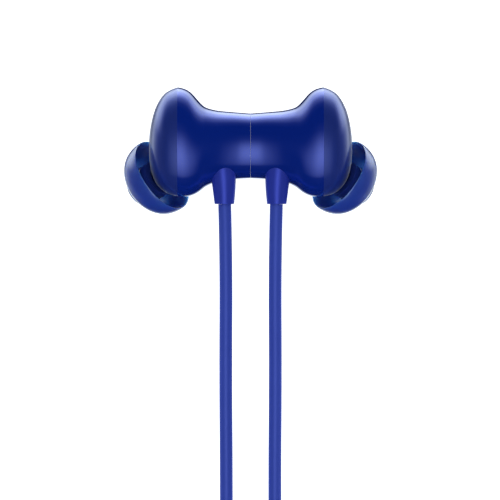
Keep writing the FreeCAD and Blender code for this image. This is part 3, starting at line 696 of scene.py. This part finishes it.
BAND_WIDTH, BAND_HEIGHT, BAND_CORNER = 6.0, 5.0, 2.2
BAND_Z = 2.5
BAND_START = -15.0
BAND_ARM_STEPS, BAND_NAPE_STEPS = 12, 40
CORNER_SHARE = 0.999  # of a corner's radius, so that the rounds of a circle don't meet
# Place across the band, and radius
SPRING_WIRE = (-1.1, 0.45)
LINK_CABLE = (1.05, 0.7)


def band_section(name, side, across, height, corner, offset):
    """The upright outline of a band's section at its arm end, as a ring of edges."""
    bpy.ops.object.select_all(action="DESELECT")
    bpy.ops.mesh.primitive_plane_add(size=1, rotation=(math.pi / 2, 0, 0))
    piece = bpy.context.active_object
    piece.name = name
    piece.scale = (across * MM, height * MM, 1)
    piece.location = mm(side * (POD_X + offset), BAND_START, BAND_Z)
    bpy.ops.object.transform_apply(location=True, rotation=True, scale=True)
    bpy.ops.object.mode_set(mode="EDIT")
    bpy.ops.mesh.select_all(action="SELECT")
    bpy.ops.mesh.bevel(offset=corner * MM * CORNER_SHARE, segments=5, affect="VERTICES")
    bpy.ops.mesh.select_all(action="SELECT")
    bpy.ops.mesh.delete(type="ONLY_FACE")
    return piece


def band_half(name, side, across, height, corner, offset=0.0):
    """Half of a part that runs round the neck: straight along the arm, then a quarter turn to the nape."""
    piece = band_section(name, side, across, height, corner, offset)
    bpy.ops.mesh.select_mode(type="EDGE")
    bpy.ops.mesh.select_all(action="SELECT")
    step = mm(0, (NAPE_Y - BAND_START) / BAND_ARM_STEPS, 0)
    for _ in range(BAND_ARM_STEPS):
        bpy.ops.mesh.extrude_region_move(TRANSFORM_OT_translate={"value": step})
    bpy.ops.mesh.spin(
        steps=BAND_NAPE_STEPS,
        angle=side * math.pi / 2,
        center=mm(0, NAPE_Y, BAND_Z),
        axis=(0, 0, -1),
        use_auto_merge=False,
    )
    bpy.ops.mesh.select_all(action="SELECT")
    bpy.ops.mesh.remove_doubles(threshold=MERGE_DISTANCE)
    bpy.ops.mesh.select_all(action="SELECT")
    bpy.ops.mesh.fill_holes(sides=0)
    done()
    return smooth(tidy_normals(piece), 50)


def add_band(side):
    name = SIDE_NAMES[side]
    skin = dress(band_half(f"{name}_band_skin", side, BAND_WIDTH, BAND_HEIGHT, BAND_CORNER), band_blue)
    offset, radius = SPRING_WIRE
    wire = dress(band_half(f"{name}_band_wire", side, 2 * radius, 2 * radius, radius, offset), steel)
    offset, radius = LINK_CABLE
    cable = dress(band_half(f"{name}_band_cable", side, 2 * radius, 2 * radius, radius, offset), black_plastic)
    made = {
        "band_sleeve": (skin, "band_silicone"),
        "spring_wire": (wire, "steel"),
        "link_cable": (cable, "soft_plastic"),
    }
    for node, (piece, finish) in made.items():
        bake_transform(piece)
        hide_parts(node)
        piece.visible_glossy = False


for side in (LEFT, RIGHT):
    add_band(side)


# Pod boots

# A ring of a pod's boot: height up from the cord's end, half width, half depth, middle
POD_BOOT_RINGS = [
    (0.00, 1.20, 1.20, 0),
    (0.05, 1.42, 1.42, 0),
    (0.25, 1.52, 1.52, 0),
    (1.10, 1.58, 1.58, 0),
    (1.20, 1.40, 1.40, 0),
    (1.70, 1.42, 1.42, 0),
    (1.80, 1.66, 1.66, 0),
    (2.70, 1.74, 1.74, 0),
    (2.80, 1.54, 1.54, 0),
    (3.30, 1.58, 1.58, 0),
    (3.40, 1.82, 1.82, 0),
    (4.30, 1.90, 1.90, 0),
    (4.40, 1.68, 1.68, 0),
    (4.90, 1.72, 1.72, 0),
    (5.00, 1.98, 1.98, 0),
    (6.60, 2.12, 2.12, 0),
    (8.00, 2.24, 2.24, 0),
    (8.30, 2.20, 2.20, 0),
    (8.40, 1.60, 1.60, 0),
]


def add_pod_boot(side):
    name = SIDE_NAMES[side]
    boot = ringed(f"{name}_pod_boot", POD_BOOT_RINGS, 32)
    origin = mm(side * POD_X, POD_FRONT - POD_RELIEF_LENGTH, POD_HEIGHT / 2)
    stand(boot, origin, BOOT_TURN)
    smooth(dress(boot, soft_blue), 50)
    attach(boot, f"{name}_arm")
    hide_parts(f"{name}_pod_strain_relief")


for side in (LEFT, RIGHT):
    add_pod_boot(side)


# Parts carried over from the frame

NODE_FINISHES = {
    satin_blue: ["pod_top", "pod_bottom"],
    soft_blue: ["band_collar"],
    steel: ["nozzle_mesh", "snap_magnet", "driver_magnet", "shield_can", "usb_c_socket", "dome"],
    foil: ["battery_cell", "driver_diaphragm"],
    board_green: ["board"],
    black_plastic: ["driver_frame", "driver_carrier", "cable_anchor", "microphone"],
    light_clear: ["light"],
    gloss_blue: ["button"],
}
for name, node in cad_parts.items():
    for finish, endings in NODE_FINISHES.items():
        if any(ending in name for ending in endings):
            dress(node, finish)
            break


# Floor

FLOOR_SIZE = 6
FLOOR_HEIGHT = -0.0001
FLOOR_GLOW = 0.9


def add_floor():
    bpy.ops.object.select_all(action="DESELECT")
    bpy.ops.mesh.primitive_plane_add(size=FLOOR_SIZE, location=(0, 0, FLOOR_HEIGHT))
    floor = bpy.context.active_object
    floor.name = "pale_floor"
    material, nodes, links, shader = new_material("pale_floor", (0.9, 0.9, 0.9), 0.8)
    set_inputs(shader, {"Emission Color": (1, 1, 1, 1), "Emission Strength": FLOOR_GLOW})
    dress(floor, material)
    floor.visible_glossy = False


add_floor()


# Light

FRONT_LIGHT = 1.95
BACK_LIGHT = 4.5
WING_LIGHT = 1.3
RIM_LIGHT = 1.0
GLOSS_ROOM = 0.01  # what glossy surfaces mirror between the lights
ROOM_LIGHT = 0.9  # even light on everything that isn't a mirrored ray
LIGHT_COLOUR = (0.88, 1.0, 1.1, 1)


def world_light():
    """A studio of soft boxes drawn on the world: glossy rays see the boxes, others an even light."""
    world = bpy.data.worlds.new("studio")
    bpy.context.scene.world = world
    world.use_nodes = True
    nodes, links = world.node_tree.nodes, world.node_tree.links
    place = nodes.new("ShaderNodeTexCoord")
    parts = nodes.new("ShaderNodeSeparateXYZ")
    links.new(place.outputs["Generated"], parts.inputs["Vector"])

    def math_node(operation, first, second=None):
        node = nodes.new("ShaderNodeMath")
        node.operation = operation
        for socket, value in zip(node.inputs, (first, second)):
            if isinstance(value, (int, float)):
                socket.default_value = value
            elif value is not None:
                links.new(value, socket)
        return node.outputs["Value"]

    def product(value, factor):
        return math_node("MULTIPLY", value, factor)

    def profile(value, low, high, stops):
        """Light level along a line: stops are (place between low and high, level)."""
        spread = nodes.new("ShaderNodeMapRange")
        set_inputs(spread, {"From Min": low, "From Max": high})
        links.new(value, spread.inputs["Value"])
        ramp = nodes.new("ShaderNodeValToRGB")
        ramp.color_ramp.interpolation = "LINEAR"
        elements = ramp.color_ramp.elements
        while len(elements) < len(stops):
            elements.new(0.5)
        for element, (at, level) in zip(elements, sorted(stops)):
            element.position = (at - low) / (high - low)
            element.color = (level, level, level, 1)
        links.new(spread.outputs["Result"], ramp.inputs["Fac"])
        return ramp.outputs["Color"]

    across = math_node("ABSOLUTE", parts.outputs["X"])
    forward = math_node("MULTIPLY", parts.outputs["Y"], -1.0)
    lean = math_node("ARCTAN2", forward, parts.outputs["Z"])
    lean = math_node("MULTIPLY", lean, 180 / math.pi)
    # A wide softbox above and in front of the object, placed by degrees from straight up towards the front
    front_stops = [(-36, 0), (-20, 0.08), (-10, 0.3), (0, 0.62), (10, 0.88), (22, 1), (35, 0.9)]
    front_stops += [(56, 0.48), (63, 0.3), (69, 0.03), (90, 0)]
    front = profile(lean, -90, 90, front_stops)
    width_stops = [(0, 1), (0.1, 0.95), (0.2, 0.68), (0.27, 0.44), (0.4, 0.15), (0.5, 0.03), (0.56, 0)]
    front = product(front, profile(across, 0, 1, width_stops))
    front = product(front, FRONT_LIGHT)
    # A low strip along the back, with wings at its ends
    back_stops = [(-0.88, 0), (-0.8, 0.5), (-0.65, 0.9), (-0.35, 0.95), (-0.06, 0.3), (0.2, 0.04), (0.42, 0)]
    back = profile(parts.outputs["Z"], -1, 1, back_stops)
    back = product(back, profile(parts.outputs["Y"], -1, 1, [(0.15, 0), (0.4, 1)]))
    back = product(back, profile(across, 0, 1, [(0, 1), (0.2, 0.7), (0.5, 0.48), (1, 0.4)]))
    back = product(back, BACK_LIGHT)
    wing_stops = [(-1, 1), (-0.8, 0.9), (-0.65, 0.5), (-0.4, 0.3), (-0.1, 0.1), (0.4, 0.05), (0.7, 0.02)]
    wings = profile(parts.outputs["Z"], -1, 1, wing_stops)
    wing_stops = [(-0.9, 0.3), (-0.3, 0.6), (0.1, 1), (0.3, 1), (0.4, 0)]
    wings = product(wings, profile(parts.outputs["Y"], -1, 1, wing_stops))
    wings = product(wings, profile(across, 0, 1, [(0.45, 0), (0.7, 1)]))
    wings = product(wings, WING_LIGHT)
    # A faint strip below the front edge
    rim = profile(parts.outputs["Z"], -1, 1, [(-0.95, 1), (-0.85, 0)])
    rim = product(rim, profile(parts.outputs["Y"], -1, 1, [(-0.1, 1), (0.1, 0)]))
    rim = product(rim, RIM_LIGHT)
    total = math_node("ADD", math_node("ADD", front, back), math_node("ADD", rim, wings))
    total = math_node("ADD", total, GLOSS_ROOM)

    # Even light for all but glossy rays, and plain white behind the object
    path = nodes.new("ShaderNodeLightPath")
    spread = nodes.new("ShaderNodeMix")
    links.new(path.outputs["Is Glossy Ray"], spread.inputs["Factor"])
    spread.inputs["A"].default_value = ROOM_LIGHT
    links.new(total, spread.inputs["B"])
    total = spread.outputs["Result"]

    lights = nodes["Background"]
    links.new(total, lights.inputs["Strength"])
    lights.inputs["Color"].default_value = LIGHT_COLOUR
    plain = nodes.new("ShaderNodeBackground")
    plain.inputs["Color"].default_value = (1, 1, 1, 1)
    mix = nodes.new("ShaderNodeMixShader")
    links.new(path.outputs["Is Camera Ray"], mix.inputs["Fac"])
    links.new(lights.outputs["Background"], mix.inputs[1])
    links.new(plain.outputs["Background"], mix.inputs[2])
    links.new(mix.outputs["Shader"], nodes["World Output"].inputs["Surface"])


world_light()
bpy.context.scene.view_settings.view_transform = "Standard"
